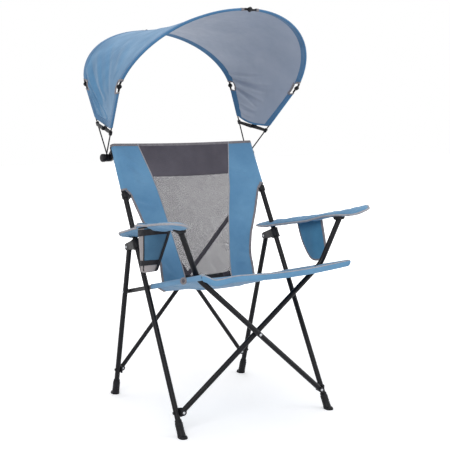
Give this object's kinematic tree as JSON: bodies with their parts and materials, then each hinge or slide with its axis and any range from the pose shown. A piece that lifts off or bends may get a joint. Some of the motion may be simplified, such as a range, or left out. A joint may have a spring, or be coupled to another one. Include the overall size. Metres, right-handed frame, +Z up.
{
  "type": "folding camping chair with sun canopy",
  "caption": "Folding camping chair with crossed braces, sling seat, mesh backrest, padded arms, cup holder, side pocket and a tilting sun canopy.",
  "frame": {"origin": "on the floor, under the middle of the whole chair, canopy included", "axes": "+Z up, +X to the sitter's left, -Y to the front of the chair"},
  "size_m": [0.7658, 0.9894, 1.4335],
  "materials": {
    "frame_paint": "satin black powder coat",
    "black_plastic": "fine matte",
    "steel": "plated",
    "blue_fabric": "woven polyester",
    "canopy_fabric": "coated polyester",
    "grey_mesh": "open mesh",
    "pouch_fabric": "woven polyester"
  },
  "bodies": {
    "side_right": {"back_tube_right": "frame_paint", "front_boot_right": "black_plastic", "brace_clip_right": "black_plastic", "canopy_bracket_right": "black_plastic", "hub_cap_right": "black_plastic", "backrest": "grey_mesh"},
    "hub_right": {"hub_right": "black_plastic", "hub_pin_right": "steel"},
    "rear_leg_right": {"rear_leg_right": "frame_paint", "rear_boot_right": "black_plastic"},
    "rear_foot_right": {"rear_clevis_right": "black_plastic", "rear_rivet_right": "steel"},
    "front_foot_right": {"front_clevis_right": "black_plastic", "front_rivet_right": "steel"},
    "front_brace_right": {"front_brace_right": "frame_paint", "front_cross_rivet": "steel"},
    "rear_brace_right": {"rear_brace_right": "frame_paint", "rear_cross_rivet_right": "steel"},
    "seat_rail_right": {"seat_rail_right": "frame_paint", "rail_rivet_right": "steel", "seat_sling": "blue_fabric"},
    "canopy_right": {"front_strut_right": "frame_paint", "rear_strut_right": "frame_paint", "front_link_right": "black_plastic", "rear_link_right": "black_plastic", "canopy_cloth": "canopy_fabric"},
    "front_arc_right": {"front_arc_right": "frame_paint"},
    "rear_arc_right": {"rear_arc_right": "frame_paint"},
    "side_left": {"back_tube_left": "frame_paint", "front_boot_left": "black_plastic", "brace_clip_left": "black_plastic", "canopy_bracket_left": "black_plastic", "hub_cap_left": "black_plastic"},
    "hub_left": {"hub_left": "black_plastic", "hub_pin_left": "steel"},
    "rear_leg_left": {"rear_leg_left": "frame_paint", "rear_boot_left": "black_plastic"},
    "rear_foot_left": {"rear_clevis_left": "black_plastic", "rear_rivet_left": "steel"},
    "front_foot_left": {"front_clevis_left": "black_plastic", "front_rivet_left": "steel"},
    "front_brace_left": {"front_brace_left": "frame_paint"},
    "rear_brace_left": {"rear_brace_left": "frame_paint", "rear_cross_rivet_left": "steel"},
    "seat_rail_left": {"seat_rail_left": "frame_paint", "rail_rivet_left": "steel"},
    "canopy_left": {"front_strut_left": "frame_paint", "rear_strut_left": "frame_paint", "front_link_left": "black_plastic", "rear_link_left": "black_plastic"},
    "front_arc_left": {"front_arc_left": "frame_paint"},
    "rear_arc_left": {"rear_arc_left": "frame_paint"},
    "arm_left": {"arm_core_left": "black_plastic", "arm_cover_left": "blue_fabric", "arm_pocket": "pouch_fabric"},
    "arm_right": {"arm_core_right": "black_plastic", "arm_cover_right": "blue_fabric", "cup_holder": "pouch_fabric"}
  },
  "joints": [
    {"name": "front_swivel_right", "type": "hinge", "parent": "side_right", "child": "front_foot_right", "pos_m": [-0.30322, -0.31699, 0.074], "axis": [1, 0, 0], "range_deg": [-9.68, 0]},
    {"name": "chair_fold", "type": "hinge", "parent": "front_foot_right", "child": "front_brace_right", "pos_m": [-0.28122, -0.31943, 0.07491], "axis": [0, -0.9959, -0.09], "range_deg": [0, 33], "deforming": ["seat_sling", "backrest", "canopy_cloth", "arm_pocket"]},
    {"name": "front_crossing", "type": "hinge", "parent": "front_brace_right", "child": "front_brace_left", "pos_m": [0, -0.35155, 0.31815], "axis": [0, -0.9959, -0.09], "range_deg": [-66.01, 0]},
    {"name": "front_foot_pivot_left", "type": "hinge", "parent": "front_brace_left", "child": "front_foot_left", "pos_m": [0.28122, -0.33955, 0.07309], "axis": [0, -0.9959, -0.09], "range_deg": [0, 33.01]},
    {"name": "front_swivel_left", "type": "hinge", "parent": "front_foot_left", "child": "side_left", "pos_m": [0.30322, -0.31699, 0.074], "axis": [1, 0, 0], "range_deg": [0, 9.68]},
    {"name": "hub_slide_right", "type": "slide", "parent": "side_right", "child": "hub_right", "axis": [-0.0092, -0.4941, -0.8693], "range_m": [0, 0.1473]},
    {"name": "rear_leg_right", "type": "hinge", "parent": "hub_right", "child": "rear_leg_right", "pos_m": [-0.297, 0.04595, 0.592], "axis": [1, 0, 0], "range_deg": [-45.3, 0]},
    {"name": "rear_swivel_right", "type": "hinge", "parent": "rear_leg_right", "child": "rear_foot_right", "pos_m": [-0.28707, 0.17838, 0.102], "axis": [1, 0, 0], "range_deg": [0, 11.7]},
    {"name": "rear_brace_right", "type": "hinge", "parent": "rear_foot_right", "child": "rear_brace_right", "pos_m": [-0.26407, 0.19491, 0.10309], "axis": [0, -0.9919, -0.1266], "range_deg": [0, 26.36]},
    {"name": "seat_rail_right", "type": "hinge", "parent": "rear_leg_right", "child": "seat_rail_right", "pos_m": [-0.27539, 0.09271, 0.419], "axis": [0.9991, 0.014, 0.0389], "range_deg": [-11.47, 0]},
    {"name": "hub_slide_left", "type": "slide", "parent": "side_left", "child": "hub_left", "axis": [0.0092, -0.4941, -0.8693], "range_m": [0, 0.1473]},
    {"name": "rear_leg_left", "type": "hinge", "parent": "hub_left", "child": "rear_leg_left", "pos_m": [0.297, 0.04595, 0.592], "axis": [1, 0, 0], "range_deg": [-45.3, 0]},
    {"name": "rear_swivel_left", "type": "hinge", "parent": "rear_leg_left", "child": "rear_foot_left", "pos_m": [0.28707, 0.17838, 0.102], "axis": [1, 0, 0], "range_deg": [0, 11.7]},
    {"name": "rear_brace_left", "type": "hinge", "parent": "rear_foot_left", "child": "rear_brace_left", "pos_m": [0.26407, 0.17785, 0.10091], "axis": [0, -0.9919, -0.1266], "range_deg": [-26.36, 0]},
    {"name": "seat_rail_left", "type": "hinge", "parent": "rear_leg_left", "child": "seat_rail_left", "pos_m": [0.27539, 0.09271, 0.419], "axis": [0.9991, -0.014, -0.0389], "range_deg": [-11.47, 0]},
    {"name": "arm_left", "type": "hinge", "parent": "front_brace_right", "child": "arm_left", "pos_m": [0.327, -0.37599, 0.70091], "axis": [-0.7493, 0.6622, -0.001], "range_deg": [0, 41.82]},
    {"name": "arm_right", "type": "hinge", "parent": "front_brace_left", "child": "arm_right", "pos_m": [-0.327, -0.39611, 0.69909], "axis": [-0.7493, -0.6622, 0.001], "range_deg": [0, 41.82]},
    {"name": "canopy_tilt", "type": "hinge", "parent": "side_right", "child": "canopy_right", "pos_m": [-0.307, 0.20495, 0.905], "axis": [-1, 0, 0], "range_deg": [-15, 120]},
    {"name": "canopy_tilt_left", "type": "hinge", "parent": "side_left", "child": "canopy_left", "pos_m": [0.316, 0.20495, 0.905], "axis": [-1, 0, 0], "range_deg": [-15.01, 120.01]},
    {"name": "front_arc_right", "type": "hinge", "parent": "canopy_right", "child": "front_arc_right", "pos_m": [-0.372, -0.04079, 1.16396], "axis": [0, -0.7254, -0.6884], "range_deg": [0, 24.14]},
    {"name": "rear_arc_right", "type": "hinge", "parent": "canopy_right", "child": "rear_arc_right", "pos_m": [-0.322, 0.36195, 1.17693], "axis": [0, -0.866, 0.5], "range_deg": [0, 31.95]},
    {"name": "front_arc_left", "type": "hinge", "parent": "canopy_left", "child": "front_arc_left", "pos_m": [0.372, -0.04079, 1.16396], "axis": [0, -0.7254, -0.6884], "range_deg": [-24.14, 0]},
    {"name": "rear_arc_left", "type": "hinge", "parent": "canopy_left", "child": "rear_arc_left", "pos_m": [0.322, 0.36195, 1.17693], "axis": [0, -0.866, 0.5], "range_deg": [-31.95, 0]}
  ],
  "couplings": [
    {"joint": "front_swivel_right", "follows": "chair_fold", "ratio": -0.29315},
    {"joint": "front_crossing", "follows": "chair_fold", "ratio": -2},
    {"joint": "front_foot_pivot_left", "follows": "chair_fold", "ratio": 1},
    {"joint": "front_swivel_left", "follows": "chair_fold", "ratio": 0.29315},
    {"joint": "hub_slide_right", "follows": "chair_fold", "m_per_rad": 0.25558},
    {"joint": "rear_leg_right", "follows": "chair_fold", "ratio": -1.3723},
    {"joint": "rear_swivel_right", "follows": "chair_fold", "ratio": 0.35422},
    {"joint": "rear_brace_right", "follows": "chair_fold", "ratio": 0.79842},
    {"joint": "seat_rail_right", "follows": "chair_fold", "ratio": -0.34736},
    {"joint": "hub_slide_left", "follows": "chair_fold", "m_per_rad": 0.25558},
    {"joint": "rear_leg_left", "follows": "chair_fold", "ratio": -1.3723},
    {"joint": "rear_swivel_left", "follows": "chair_fold", "ratio": 0.35422},
    {"joint": "rear_brace_left", "follows": "chair_fold", "ratio": -0.79842},
    {"joint": "seat_rail_left", "follows": "chair_fold", "ratio": -0.34736},
    {"joint": "arm_left", "follows": "chair_fold", "ratio": 1.2671},
    {"joint": "arm_right", "follows": "chair_fold", "ratio": 1.2671},
    {"joint": "canopy_tilt_left", "follows": "canopy_tilt", "ratio": 1},
    {"joint": "front_arc_right", "follows": "chair_fold", "ratio": 0.7313},
    {"joint": "rear_arc_right", "follows": "chair_fold", "ratio": 0.96784},
    {"joint": "front_arc_left", "follows": "chair_fold", "ratio": -0.7313},
    {"joint": "rear_arc_left", "follows": "chair_fold", "ratio": -0.96784}
  ]
}
